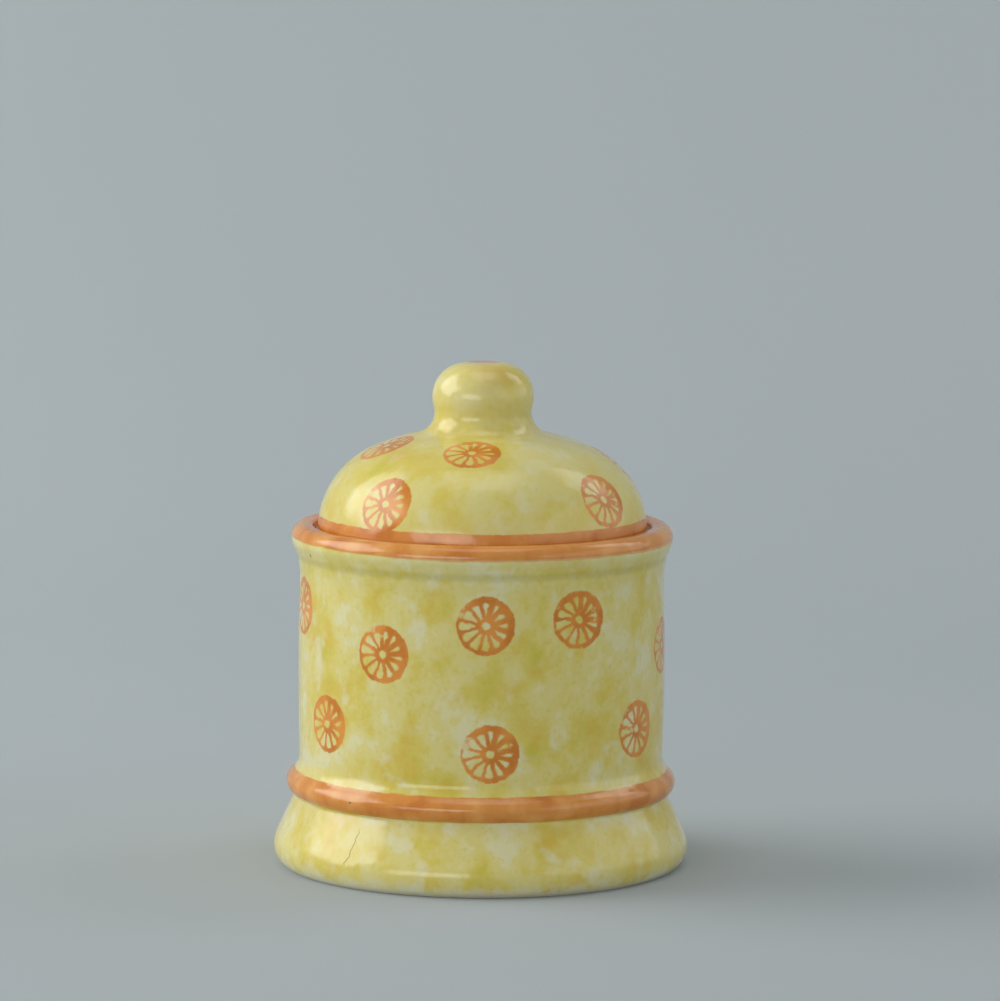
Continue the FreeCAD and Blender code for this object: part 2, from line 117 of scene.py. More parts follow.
# the studio, in metres
FAR_GREY = (166, 175, 178)          # the background, as a display colour
FLOOR_REACH = 9.0                   # to the front and to each side
SWEEP_START, SWEEP_RADIUS = 0.35, 0.5
SWEEP_STEPS = 16
WALL_TOP = 2.5
POT_MIDDLE = Vector((0.0, 0.0, 60.0)) * MM
GREY_FROM, GREY_FULL = 0.45, 1.5    # the sheet passes into plain grey between these distances


# ---------------------------------------------------------------- outlines from the solids


def outline(node, turn):
    """A turned node's outline in order: (radius, height) rows, cut where its seam lies."""
    mesh = node.data
    places = np.empty(len(mesh.vertices) * 3)
    mesh.vertices.foreach_get("co", places)
    places = places.reshape(-1, 3)
    out = places[:, 0] * math.cos(turn) + places[:, 1] * math.sin(turn)
    aside = places[:, 1] * math.cos(turn) - places[:, 0] * math.sin(turn)
    on_seam = (np.abs(aside) < SAME) & (out > -SAME)
    edges = set()
    rows = np.round(np.stack([out, places[:, 2]], axis=1), 6)
    for polygon in mesh.polygons:
        corners = [v for v in polygon.vertices if on_seam[v]]
        if len(corners) == 2:
            a, b = (tuple(np.abs(rows[v]) if rows[v][0] < 0 else rows[v]) for v in corners)
            if a != b:
                edges.add((min(a, b), max(a, b)))
    neighbours = {}
    for a, b in edges:
        neighbours.setdefault(a, set()).add(b)
        neighbours.setdefault(b, set()).add(a)
    for end in [p for p, near in neighbours.items() if len(near) == 1 and p[0] > SAME]:
        level = [p for p in neighbours if len(neighbours[p]) == 1 and p != end]
        level = [p for p in level if abs(p[1] - end[1]) < 2 * SAME] or [(0.0, end[1])]
        for other in level if len(neighbours[end]) == 1 else []:
            neighbours[end].add(other)
            neighbours.setdefault(other, set()).add(end)
    path = [min((p for p in neighbours if p[0] < SAME), key=lambda p: p[1])]
    while len(path) == 1 or path[-1][0] > SAME:
        path.append(next(p for p in neighbours[path[-1]] if p not in path[-2:]))
    return np.array(path)


def fair(points, step):
    """The outline with smooth arcs between its points and steps of even length."""
    chords = np.diff(points, axis=0)
    lengths = np.linalg.norm(chords, axis=1)
    slopes = chords / lengths[:, None]
    leaving, arriving = slopes.copy(), slopes.copy()
    for i in range(1, len(points) - 1):
        before, after = lengths[i - 1], lengths[i]
        if np.dot(slopes[i - 1], slopes[i]) > math.cos(CORNER):
            tangent = slopes[i - 1] * after + slopes[i] * before
            if max(before, after) > ARC_END * min(before, after):
                tangent = slopes[i - 1] if before > after else slopes[i]
            tangent /= np.linalg.norm(tangent)
            arriving[i - 1] = tangent
            leaving[i] = tangent
    rows = [points[0]]
    for i, length in enumerate(lengths):
        count = max(1, math.ceil(length / step))
        for t in np.linspace(0.0, 1.0, count + 1)[1:]:
            rows.append(
                (2 * t**3 - 3 * t**2 + 1) * points[i]
                + (t**3 - 2 * t**2 + t) * length * leaving[i]
                + (3 * t**2 - 2 * t**3) * points[i + 1]
                + (t**3 - t**2) * length * arriving[i]
            )
    return np.array(rows)


def press_groove(points, height, half, depth):
    """The outline with a shallow round groove pressed into its outside."""
    outside = points[:, 0] > OUTSIDE
    dent = depth * np.exp(-(((points[:, 1] - height) / half) ** 2))
    return points - np.stack([np.where(outside, dent, 0.0), np.zeros(len(points))], axis=1)


# ---------------------------------------------------------------- turning the clay


def new_tree(name, kind, inputs, outputs):
    """A node tree with named inputs and outputs, and its two end nodes."""
    tree = bpy.data.node_groups.new(name, kind)
    for label, socket in inputs:
        tree.interface.new_socket(label, in_out="INPUT", socket_type=socket)
    for label, socket in outputs:
        tree.interface.new_socket(label, in_out="OUTPUT", socket_type=socket)
    return tree, tree.nodes.new("NodeGroupInput"), tree.nodes.new("NodeGroupOutput")


class Wiring:
    """Adds nodes to a tree one by one, each fed by the ones before it."""

    def __init__(self, tree):
        self.tree = tree

    def add(self, kind, *feeds, out=0, named=None, **settings):
        """A node with its inputs fed in order, or by name. Gives its output socket."""
        node = self.tree.nodes.new(kind)
        for label, value in settings.items():
            setattr(node, label, value)
        for socket, feed in zip(node.inputs, feeds):
            self.feed(socket, feed)
        for label, feed in (named or {}).items():
            self.feed(node.inputs[label], feed)
        return node.outputs[out]

    def feed(self, socket, value):
        """Links a socket, or sets a plain value on it."""
        if isinstance(value, bpy.types.NodeSocket):
            self.tree.links.new(value, socket)
        elif value is not None:
            socket.default_value = value

    def sum(self, kind, a, b=None, c=None, clamp=False):
        """A Math node."""
        return self.add("ShaderNodeMath", a, b, c, operation=kind, use_clamp=clamp)

    def vector(self, kind, a, b=None, out=0, scale=None):
        """A Vector Math node."""
        named = {"Scale": scale} if scale is not None else None
        return self.add("ShaderNodeVectorMath", a, b, operation=kind, out=out, named=named)

    def product(self, first, *others):
        """All the values multiplied."""
        for other in others:
            first = self.sum("MULTIPLY", first, other)
        return first

    def centred(self, value):
        """The value less a half, so that a noise lies about 0."""
        return self.sum("SUBTRACT", value, 0.5)

    def rise(self, value, low, high):
        """0 below low, 1 above high and an easy rise between."""
        node = self.tree.nodes.new("ShaderNodeMapRange")
        node.interpolation_type = "SMOOTHSTEP"
        for socket, feed in zip(node.inputs, (value, low, high, 0.0, 1.0)):
            self.feed(socket, feed)
        return node.outputs[0]

    def fall(self, value, low, high):
        """1 below low, 0 above high and an easy fall between."""
        return self.rise(self.product(value, -1.0), -high, -low)

    def ridge(self, value, middle, flat, foot):
        """1 within flat of the middle value, and 0 farther from it than foot."""
        away = self.sum("ABSOLUTE", self.sum("SUBTRACT", value, middle))
        return self.sum("SUBTRACT", 1.0, self.rise(away, flat, foot))


def clay_turning():
    """The tree that turns an outline about the Z axis and lets the wall stray a little."""
    tree, given, result = new_tree(
        "Turned clay",
        "GeometryNodeTree",
        [
            ("Outline", "NodeSocketGeometry"),
            ("Steps Around", "NodeSocketInt"),
            ("Wheel Radius", "NodeSocketFloat"),
            ("Hand Wobble", "NodeSocketFloat"),
            ("Wobble Size", "NodeSocketFloat"),
            ("Seed", "NodeSocketFloat"),
            ("Glaze", "NodeSocketMaterial"),
        ],
        [("Clay", "NodeSocketGeometry")],
    )
    w = Wiring(tree)
    line = w.add("GeometryNodeMeshToCurve", given.outputs["Outline"])
    wheel = w.add("GeometryNodeCurvePrimitiveCircle", given.outputs["Steps Around"])
    w.feed(wheel.node.inputs["Radius"], given.outputs["Wheel Radius"])
    skin = w.add("GeometryNodeCurveToMesh", wheel, line)
    merged = w.add("GeometryNodeMergeByDistance", skin, named={"Distance": SAME})
    place = w.add("GeometryNodeInputPosition")
    level = w.vector("MULTIPLY", place, (1.0, 1.0, 0.0))
    out = w.vector("NORMALIZE", level)
    along = w.vector("MULTIPLY", place, (0.0, 0.0, 1.0))
    wall = w.vector("ADD", w.vector("SCALE", out, scale=WOBBLE_RADIUS), along)
    grain = w.vector("DIVIDE", wall)
    sizes = w.add("ShaderNodeCombineXYZ", *[given.outputs["Wobble Size"]] * 3)
    w.feed(grain.node.inputs[1], sizes)
    wander = w.add(
        "ShaderNodeTexNoise",
        noise_dimensions="4D",
        named={"Vector": grain, "W": given.outputs["Seed"], "Scale": 1.0, "Detail": 1.0},
    )
    stray = w.product(wander, given.outputs["Hand Wobble"])
    inward = w.sum("DIVIDE", stray, -WOBBLE_RADIUS)
    shift = w.vector("SCALE", level, scale=inward)
    moved = w.add("GeometryNodeSetPosition", merged, named={"Offset": shift})
    shaded = w.add("GeometryNodeSetShadeSmooth", moved)
    whole = w.add("GeometryNodeRealizeInstances", shaded)
    glazed = w.add("GeometryNodeSetMaterial", whole, named={"Material": given.outputs["Glaze"]})
    w.feed(result.inputs["Clay"], glazed)
    return tree


def set_input(modifier, label, value):
    """Sets a Geometry Nodes input by its socket's identifier."""
    for item in modifier.node_group.interface.items_tree:
        if item.item_type == "SOCKET" and item.in_out == "INPUT" and item.name == label:
            modifier[item.identifier] = value


def made_plain(blank, name):
    """The evaluated object as a plain mesh object of its own. The blank goes."""
    graph = bpy.context.evaluated_depsgraph_get()
    mesh = bpy.data.meshes.new_from_object(blank.evaluated_get(graph))
    bpy.data.objects.remove(blank)
    mesh.name = name
    piece = bpy.data.objects.new(name, mesh)
    bpy.context.collection.objects.link(piece)
    return piece


def turn_piece(name, points, tree, seed, glaze):
    """A piece turned from its outline, as a plain mesh whose faces point outwards."""
    mesh = bpy.data.meshes.new(name + "_outline")
    rows = [(radius - WHEEL_RADIUS, -height, 0.0) for radius, height in points]
    mesh.from_pydata(rows, [(i, i + 1) for i in range(len(rows) - 1)], [])
    blank = bpy.data.objects.new(name + "_outline", mesh)
    bpy.context.collection.objects.link(blank)
    modifier = blank.modifiers.new("turned", "NODES")
    modifier.node_group = tree
    for label, value in (
        ("Steps Around", AROUND),
        ("Wheel Radius", WHEEL_RADIUS),
        ("Hand Wobble", HAND_WOBBLE),
        ("Wobble Size", WOBBLE_SIZE),
        ("Seed", seed),
        ("Glaze", glaze),
    ):
        set_input(modifier, label, value)
    piece = made_plain(blank, name)
    edit = bmesh.new()
    edit.from_mesh(piece.data)
    bmesh.ops.remove_doubles(edit, verts=edit.verts, dist=SAME)
    bmesh.ops.recalc_face_normals(edit, faces=edit.faces)
    edit.to_mesh(piece.data)
    edit.free()
    return piece


def past_notch(spot):
    """How far a point lies outside the notch's outline, or less than 0 inside it.

    A point that isn't on the notch's side of the lid is far from it.
    """
    if spot.y <= NOTCH_INNER:
        return 1.0
    return math.hypot(spot.x, max(spot.z - NOTCH_SPRING, 0.0)) - NOTCH_HALF


def roll_notch_edge(piece):
    """Fine faces round the notch, the outer ones sinking towards the line where it is then cut."""
    finer = 2.0 * MM        # how far from the outline the faces are made smaller
    within = 1.2 * MM       # how far inside the outline they still sink
    skirt = 81.0 * MM       # nothing sinks below this height
    easing = 1.5 * MM       # and above it the sinking grows over this much
    outwards = 0.3          # faces that point out less than this don't sink
    edit = bmesh.new()
    edit.from_mesh(piece.data)
    square = Matrix.Rotation(-NOTCH_TURN, 3, "Z")
    near = {vert for vert in edit.verts if abs(past_notch(square @ vert.co)) < finer}
    edges = [edge for edge in edit.edges if edge.verts[0] in near and edge.verts[1] in near]
    bmesh.ops.subdivide_edges(edit, edges=edges, cuts=3, use_grid_fill=True)
    edit.normal_update()
    moves = []
    for vert in edit.verts:
        past = past_notch(square @ vert.co)
        gap = NOTCH_SOFT - max(past, 0.0)
        rise = min(max((vert.co.z - skirt) / easing, 0.0), 1.0)
        if gap > 0.0 and past > -within and rise > 0.0 and (square @ vert.normal).y > outwards:
            depth = NOTCH_SOFT - math.sqrt(NOTCH_SOFT**2 - gap**2)
            moves.append((vert, vert.normal * rise * depth))
    for vert, sink in moves:
        vert.co -= sink
    edit.to_mesh(piece.data)
    edit.free()


def notch_cutter():
    """A bar with the notch's outline, lying through the lid's wall."""
    angles = np.linspace(0, math.pi, ARCH_STEPS + 1)
    arch = [(NOTCH_HALF * math.cos(a), NOTCH_SPRING + NOTCH_HALF * math.sin(a)) for a in angles]
    ring = [(NOTCH_HALF, NOTCH_LOW)] + arch + [(-NOTCH_HALF, NOTCH_LOW)]
    edit = bmesh.new()
    near, far = ([edit.verts.new((x, y, z)) for x, z in ring] for y in (NOTCH_INNER, NOTCH_OUTER))
    edit.faces.new(near)
    edit.faces.new(far)
    for i in range(len(ring)):
        j = (i + 1) % len(ring)
        edit.faces.new((near[i], near[j], far[j], far[i]))
    turned = Matrix.Rotation(NOTCH_TURN, 3, "Z")
    bmesh.ops.rotate(edit, verts=edit.verts, cent=(0, 0, 0), matrix=turned)
    bmesh.ops.recalc_face_normals(edit, faces=edit.faces)
    mesh = bpy.data.meshes.new("notch_cutter")
    edit.to_mesh(mesh)
    edit.free()
    cutter = bpy.data.objects.new("notch_cutter", mesh)
    bpy.context.collection.objects.link(cutter)
    return cutter


def cut_notch(piece):
    """Cuts the spoon notch at the lid's back, an arch open at the bottom."""
    sliver = 0.004 * MM     # points that the cut leaves closer than this become one
    roll_notch_edge(piece)
    cutter = notch_cutter()
    cut = piece.modifiers.new("notch", "BOOLEAN")
    cut.operation = "DIFFERENCE"
    cut.solver = "EXACT"
    cut.object = cutter
    name = piece.name
    piece.name = name + "_uncut"
    lid = made_plain(piece, name)
    bpy.data.objects.remove(cutter)
    edit = bmesh.new()
    edit.from_mesh(lid.data)
    bmesh.ops.remove_doubles(edit, verts=edit.verts, dist=sliver)
    bmesh.ops.triangulate(edit, faces=[face for face in edit.faces if len(face.verts) > 4])
    edit.to_mesh(lid.data)
    edit.free()
    return lid


# ---------------------------------------------------------------- where the stamps were pressed


def press_slices(piece, presses):
    """Marks on the mesh how far each point lies from the nearest stamp's centre.

    The mark holds the way to the right and up across the stamp, in its radii, and a number
    that tells the stamps apart. A second mark says that a stamp is near.
    """
    mesh = piece.data
    count = len(mesh.vertices)
    places, normals = np.empty(count * 3), np.empty(count * 3)
    mesh.vertices.foreach_get("co", places)
    mesh.vertex_normals.foreach_get("vector", normals)
    places, normals = places.reshape(-1, 3), normals.reshape(-1, 3)
    mark = np.full((count, 3), FAR_OFF)
    near = np.zeros(count)
    for number, (degrees, height, turn) in enumerate(presses):
        angle = math.radians(degrees)
        out = np.array([math.sin(angle), -math.cos(angle), 0.0])
        east = np.array([math.cos(angle), math.sin(angle), 0.0])
        off = np.abs(places @ east) + np.abs(places[:, 2] - height * MM)
        off += np.where((places @ out > 15.0 * MM) & (normals @ out > 0.1), 0.0, 1.0)
        centre = int(np.argmin(off))
        face = normals[centre] - east * (normals[centre] @ east)
        face /= np.linalg.norm(face)
        north = np.cross(face, east)
        way = places - places[centre]
        right, up = way @ east / SLICE_RADIUS, way @ north / SLICE_RADIUS
        lean = math.radians(turn)
        inside = (np.hypot(right, up) < MARK_REACH) & (normals @ face > 0.25)
        inside &= np.linalg.norm(way, axis=1) < SLICE_RADIUS * MARK_DEPTH
        mark[inside, 0] = (right * math.cos(lean) + up * math.sin(lean))[inside]
        mark[inside, 1] = (up * math.cos(lean) - right * math.sin(lean))[inside]
        mark[inside, 2] = number
        near[inside] = 1.0
    mesh.attributes.new("slice", "FLOAT_VECTOR", "POINT").data.foreach_set("vector", mark.ravel())
    mesh.attributes.new("slice_near", "FLOAT", "POINT").data.foreach_set("value", near)


# ---------------------------------------------------------------- finishes
# Here mm is a place on the piece in millimetres, as are its height and its radius, the distance
# from the axis. In each call of noise, the numbers are scale, detail, roughness and seed.


def srgb(*display):
    """A colour given in display values, 0 to 255, as the shader wants it."""
    linear = [(v / 255 + 0.055) ** 2.4 / 1.055**2.4 if v > 10 else v / 255 / 12.92 for v in display]
    return (*linear, 1.0)


def noise(w, vector, scale, detail=2.0, roughness=0.5, seed=0.0):
    """A fractal noise between about 0.25 and 0.75. The seed tells one pattern from another."""
    named = {"Vector": vector, "W": seed, "Scale": scale, "Detail": detail, "Roughness": roughness}
    return w.add("ShaderNodeTexNoise", noise_dimensions="4D", named=named)


def mix(w, amount, first, second):
    """One colour passing into another."""
    node = w.tree.nodes.new("ShaderNodeMix")
    node.data_type = "RGBA"
    w.feed(node.inputs[0], amount)
    w.feed(node.inputs[6], first)
    w.feed(node.inputs[7], second)
    return node.outputs[2]


def tint(w, colour, paint, *amounts):
    """The colour, passing into a display colour by the product of the amounts."""
    return mix(w, w.product(*amounts), colour, srgb(*paint))


def ramp(w, value, *stops):
    """A colour ramp from (place, display colour) stops."""
    node = w.tree.nodes.new("ShaderNodeValToRGB")
    w.feed(node.inputs[0], value)
    band = node.color_ramp
    band.interpolation = "EASE"
    while len(band.elements) < len(stops):
        band.elements.new(0.5)
    for element, (place, colour) in zip(band.elements, stops):
        element.position = place
        element.color = srgb(*colour)
    return node.outputs[0]


def slice_stamp():
    """The orange-slice stamp: how thick the paint lies, from a place in stamp radii.

    The segments between the spokes are bare. The stamp was pressed more lightly at one side, so
    the spokes are narrower and the segments longer there.
    """
    tree, given, result = new_tree(
        "Orange slice stamp",
        "ShaderNodeTree",
        [("Place", "NodeSocketVector"), ("Segments", "NodeSocketFloat")],
        [("Paint", "NodeSocketFloat")],
    )
    light_side = math.radians(205.0)
    worn_side = math.radians(142.0)
    w = Wiring(tree)
    rough = w.add(
        "ShaderNodeTexNoise",
        named={"Vector": given.outputs["Place"], "Scale": 3.6, "Detail": 3.0, "Roughness": 0.6},
        out=1,
    )
    off = w.vector("SCALE", w.vector("SUBTRACT", rough, (0.5, 0.5, 0.5)), scale=0.17)
    shaken = w.vector("ADD", given.outputs["Place"], off)
    flat = w.vector("MULTIPLY", shaken, (1.0, 1.0, 0.0))
    radius = w.vector("LENGTH", flat, out=1)
    x, y = (w.add("ShaderNodeSeparateXYZ", flat).node.outputs[i] for i in (0, 1))
    angle = w.sum("ARCTAN2", y, x)

    # which segment this is, and the way to its middle line
    share = w.sum("DIVIDE", given.outputs["Segments"], math.tau)
    count = w.sum("ADD", w.product(angle, share), 0.5)
    wrapped = w.sum("WRAP", w.sum("FLOOR", count), given.outputs["Segments"], 0.0)
    chance = w.add("ShaderNodeTexWhiteNoise", noise_dimensions="1D", named={"W": wrapped})
    local = w.sum("DIVIDE", w.centred(w.sum("FRACT", count)), share)
    across = w.sum("ABSOLUTE", w.product(radius, w.sum("SINE", local)))

    # the bare segments, pointed inwards and rounded outwards, and the bare hub
    light = w.sum("COSINE", w.sum("SUBTRACT", angle, light_side))
    spoke = w.sum("MULTIPLY_ADD", light, -0.028, 0.074)
    spoke = w.sum("MULTIPLY_ADD", w.centred(chance), 0.045, spoke)
    reach = w.product(radius, w.sum("SINE", w.sum("DIVIDE", 0.5, share)))
    beside = w.sum("SUBTRACT", w.sum("SUBTRACT", reach, spoke), across)
    outer_end = w.sum("MULTIPLY_ADD", light, 0.060, 0.785)
    outer_end = w.sum("MULTIPLY_ADD", w.centred(chance), 0.09, outer_end)
    inner_end = w.sum("MULTIPLY_ADD", chance, 0.09, w.sum("MULTIPLY_ADD", light, -0.03, 0.29))
    tip = w.sum("SUBTRACT", outer_end, radius)
    hole = w.add("ShaderNodeMath", beside, tip, 0.20, operation="SMOOTH_MIN")
    hole = w.sum("MINIMUM", hole, w.sum("SUBTRACT", radius, inner_end))
    hub = w.sum("SUBTRACT", 0.125, radius)
    hole = w.rise(w.sum("MAXIMUM", hole, hub), -0.040, 0.030)
    disc = w.rise(w.sum("SUBTRACT", 0.985, radius), -0.020, 0.040)

    # paint lost in patches, most of all at one side of the edge
    patchy = noise(w, given.outputs["Place"], 2.1, 3.0, 0.55, 3.0)
    worn = w.sum("COSINE", w.sum("SUBTRACT", angle, worn_side))
    edge = w.product(w.rise(worn, 0.80, 1.0), w.rise(radius, 0.70, 0.95))
    lost = w.rise(w.sum("MULTIPLY_ADD", edge, 0.10, patchy), 0.60, 0.70)
    paint = w.product(w.sum("SUBTRACT", 1.0, hole), disc, w.sum("MULTIPLY_ADD", lost, -0.8, 1.0))
    w.feed(result.inputs["Paint"], paint)
    return tree


def sponged_yellow(w, mm, tall, sponged):
    """The yellow ground: broad clouds, soft patches and dabs, richest where they meet."""
    clouds = noise(w, mm, 0.055, 2.0, 0.5, 1.0)
    patches = noise(w, tall, 0.15, 2.0, 0.5, 2.0)
    dabs = noise(w, mm, 0.50, 3.0, 0.6, 3.0)
    body = w.sum("MULTIPLY_ADD", w.centred(patches), 0.80, w.centred(clouds))
    body = w.sum("MULTIPLY_ADD", w.centred(dabs), 0.38, body)
    body = w.sum("MULTIPLY_ADD", body, sponged, 0.5)
    yellow = ramp(w, body, (0.28, (227, 220, 168)), (0.44, (225, 212, 132)), (0.60, (222, 204, 102)))
    warmer = w.rise(noise(w, tall, 0.12, 2.0, 0.5, 15.0), 0.40, 0.60)
    pigment = mix(w, warmer, srgb(206, 193, 66), srgb(219, 186, 70))
    yellow = mix(w, w.rise(body, 0.52, 0.82), yellow, pigment)
    missed = w.rise(noise(w, tall, 0.17, 3.0, 0.5, 7.0), 0.53, 0.70)
    yellow = tint(w, yellow, (230, 227, 198), missed, 0.50 * sponged)
    speckles = w.rise(noise(w, mm, 0.70, 2.0, 0.5, 11.0), 0.55, 0.70)
    return tint(w, yellow, (208, 192, 60), speckles, 0.28 * sponged)


def pressed_stamps(w, mm, stamp):
    """How thick the paint of the stamps lies."""
    spot = w.add("ShaderNodeAttribute", attribute_name="slice", out=1)
    near = w.add("ShaderNodeAttribute", attribute_name="slice_near", out=2)
    print_group = w.tree.nodes.new("ShaderNodeGroup")
    print_group.node_tree = stamp
    w.feed(print_group.inputs["Place"], spot)
    w.feed(print_group.inputs["Segments"], SEGMENTS)
    load = w.sum("MULTIPLY_ADD", noise(w, mm, 1.1, 3.0, 0.6, 13.0), 0.6, 0.72, clamp=True)
    return w.product(print_group.outputs[0], w.rise(near, 0.996, 1.0), load)


def glaze(name, sponged, stamp, bands, inside, extras):
    """The clear-glazed finish: sponged yellow, painted bands, stamps and what each piece adds."""
    material = bpy.data.materials.new(name)
    material.use_nodes = True
    shader = material.node_tree.nodes["Principled BSDF"]
    w = Wiring(material.node_tree)
    place = w.add("ShaderNodeTexCoord", out=3)
    mm = w.vector("SCALE", place, scale=1000.0)
    tall = w.vector("MULTIPLY", mm, (1.0, 1.0, 0.88))
    height = w.add("ShaderNodeSeparateXYZ", mm).node.outputs[2]
    radius = w.vector("LENGTH", w.vector("MULTIPLY", mm, (1.0, 1.0, 0.0)), out=1)
    yellow = sponged_yellow(w, mm, tall, sponged)

    # orange paint: paler where it is thin, and the stamps a little brighter than the brushwork
    load = noise(w, tall, 0.16, 3.0, 0.5, 5.0)
    orange = ramp(w, load, (0.34, (229, 160, 84)), (0.50, (220, 144, 64)), (0.66, (207, 125, 48)))
    printed = mix(w, w.rise(load, 0.36, 0.64), srgb(229, 150, 62), srgb(208, 124, 36))
    ragged = w.centred(noise(w, mm, 0.22, 4.0, 0.6, 9.0))
    painted = bands(w, mm, w.sum("MULTIPLY_ADD", ragged, 0.9, height), radius)
    stamped = pressed_stamps(w, mm, stamp)
    colour = mix(w, painted, mix(w, stamped, yellow, printed), orange)
    cream = mix(w, noise(w, mm, 0.12, 3.0, 0.5, 17.0), srgb(228, 221, 192), srgb(220, 209, 168))
    colour = mix(w, inside(w, place, height, radius), colour, cream)
    colour, bare, pits = extras(w, mm, height, radius, colour)
    w.feed(shader.inputs["Base Color"], colour)

    # the glaze's surface: glossy, a little uneven, dull on bare clay
    sheen = w.sum("MULTIPLY_ADD", noise(w, mm, 0.25, 3.0, 0.5, 19.0), 0.10, 0.065)
    w.feed(shader.inputs["Roughness"], w.sum("MULTIPLY_ADD", bare, 0.7, sheen, clamp=True))
    peel = w.product(noise(w, mm, 0.33, 2.0, 0.5, 23.0), 0.10)
    peel = w.sum("MULTIPLY_ADD", noise(w, mm, 1.6, 2.0, 0.5, 29.0), 0.008, peel)
    peel = w.sum("MULTIPLY_ADD", w.sum("MAXIMUM", stamped, painted), 0.01, peel)
    peel = w.sum("MULTIPLY_ADD", pits, -0.12, peel)
    gritty = w.product(bare, noise(w, mm, 5.0, 3.0, 0.6, 31.0))
    peel = w.sum("MULTIPLY_ADD", gritty, 0.06, peel)
    bump = w.add("ShaderNodeBump", named={"Strength": 1.0, "Distance": MM, "Height": peel})
    w.feed(shader.inputs["Normal"], bump)
    shader.inputs["IOR"].default_value = 1.52
    shader.inputs["Specular IOR Level"].default_value = 0.46
    return material


def pot_bands(w, mm, height, radius):
    """The painted rim and the painted bead."""
    left = w.vector("DOT_PRODUCT", mm, (-1.0, 0.0, 0.0), out=1)
    level = w.sum("MULTIPLY_ADD", w.rise(left, 5.0, 45.0), -RIM_RAISED, height)
    rim = w.product(w.rise(level, *RIM_EDGE), w.rise(radius, *RIM_INNER))
    bead = w.product(w.rise(height, *BEAD_LOW), w.fall(height, *BEAD_HIGH))
    return w.sum("MAXIMUM", rim, w.product(bead, w.rise(radius, *BEAD_INNER)))


def pot_inside(w, place, height, radius):
    """The plain cream lining, and the hollow under the base."""
    return w.product(w.fall(radius, *LINING), w.rise(height, *BASE_SKIN))


def pot_extras(w, mm, height, radius, colour):
    """The wiped foot, its bare ring, a painted highlight on the lip's underside, painted shade with
    darker pooled glaze in the groove under it, a hairline in the glaze and a few pinholes.
    """
    outside = w.rise(radius, *OUTER_WALL)
    edge = w.sum("MULTIPLY_ADD", noise(w, mm, 0.5, 3.0, 0.6, 37.0), -1.3, height)
    patchy = w.rise(noise(w, mm, 0.30, 3.0, 0.6, 39.0), 0.40, 0.60)
    colour = tint(w, colour, (229, 226, 200), w.fall(height, 1.0, 4.2), outside, patchy, 0.75)
    wiped = w.product(w.fall(edge, 0.1, 0.75), w.rise(radius, 44.0, 45.0))
    colour = tint(w, colour, (222, 219, 200), wiped, 0.75)
    # painted highlight: the lip's underside is made paler, standing in for light shining on it
    painted_lip_highlight = w.product(w.rise(edge, 74.9, 77.4), outside)
    colour = tint(w, colour, (231, 227, 180), painted_lip_highlight, w.fall(height, 79.0, 79.6), 0.30)
    # partly painted shade in the groove under the lip, partly glaze pooled darker there: a darker,
    # greener band
    pooled_glaze_and_shade = w.ridge(edge, 74.2, 0.2, 1.5)
    colour = tint(w, colour, (172, 162, 84), pooled_glaze_and_shade, outside, 0.32)
    bare = w.fall(height, 0.12, 0.32)
    clay = mix(w, noise(w, mm, 1.2, 4.0, 0.6, 41.0), srgb(214, 196, 160), srgb(232, 219, 190))
    colour = mix(w, bare, colour, clay)
    crack = glaze_crack(w, mm, height)
    colour = tint(w, colour, (124, 112, 56), crack, 0.42)
    pits = crack
    for degrees, high, size, reach in PINHOLES:
        angle = math.radians(degrees)
        spot = (reach * math.sin(angle), -reach * math.cos(angle), high)
        pin = w.fall(w.vector("DISTANCE", mm, spot, out=1), size, size * 1.6)
        pits = w.sum("MAXIMUM", pits, pin)
        colour = tint(w, colour, (96, 74, 34), pin, 0.7)
    return colour, bare, pits


def glaze_crack(w, mm, height):
    """The fine crack that climbs the foot in front, a little to the left."""
    along = w.vector("DOT_PRODUCT", mm, (math.cos(CRACK_TURN), math.sin(CRACK_TURN), 0.0), out=1)
    facing = w.vector("DOT_PRODUCT", mm, (math.sin(CRACK_TURN), -math.cos(CRACK_TURN), 0.0), out=1)
    path = w.add("ShaderNodeCombineXYZ", 0.0, 0.0, height)
    wander = w.product(w.centred(noise(w, path, 0.42, 3.0, 0.6, 2.6)), 4.5)
    drift = w.sum("MULTIPLY_ADD", w.sum("SUBTRACT", height, 9.5), 0.16, wander)
    crack = w.fall(w.sum("ABSOLUTE", w.sum("SUBTRACT", along, drift)), 0.04, 0.14)
    ends = w.rise(height, *CRACK_LOW), w.fall(height, *CRACK_HIGH)
    return w.product(crack, *ends, w.rise(facing, 30.0, 31.0))


def lid_bands(w, mm, height, radius):
    """The painted edge of the lid and the dab on top of its knob."""
    edge = w.product(w.fall(height, *LID_EDGE_HIGH), w.rise(height, *LID_EDGE_LOW))
    edge = w.product(edge, w.rise(radius, *LID_EDGE_INNER))
    off = w.vector("DISTANCE", w.vector("MULTIPLY", mm, (1.0, 1.0, 0.0)), DAB_MIDDLE, out=1)
    off = w.sum("MULTIPLY_ADD", w.centred(noise(w, mm, 0.40, 3.0, 0.6, 47.0)), 2.6, off)
    dab = w.product(w.fall(off, *DAB_RADIUS), w.rise(height, *KNOB_TOP))
    return w.sum("MAXIMUM", edge, dab)


def lid_inside(w, place, height, radius):
    """The plain cream underside: inside the dome, and all of the flange."""
    normal = w.add("ShaderNodeTexCoord", out=1)
    dome_middle = (0.0, 0.0, 83.0 * MM)
    out = w.vector("DOT_PRODUCT", normal, w.vector("SUBTRACT", place, dome_middle), out=1)
    under = w.product(w.fall(out, -MM, MM), w.fall(height, 102.5, 103.0))
    return w.sum("MAXIMUM", under, w.fall(height, 80.5, 80.9))


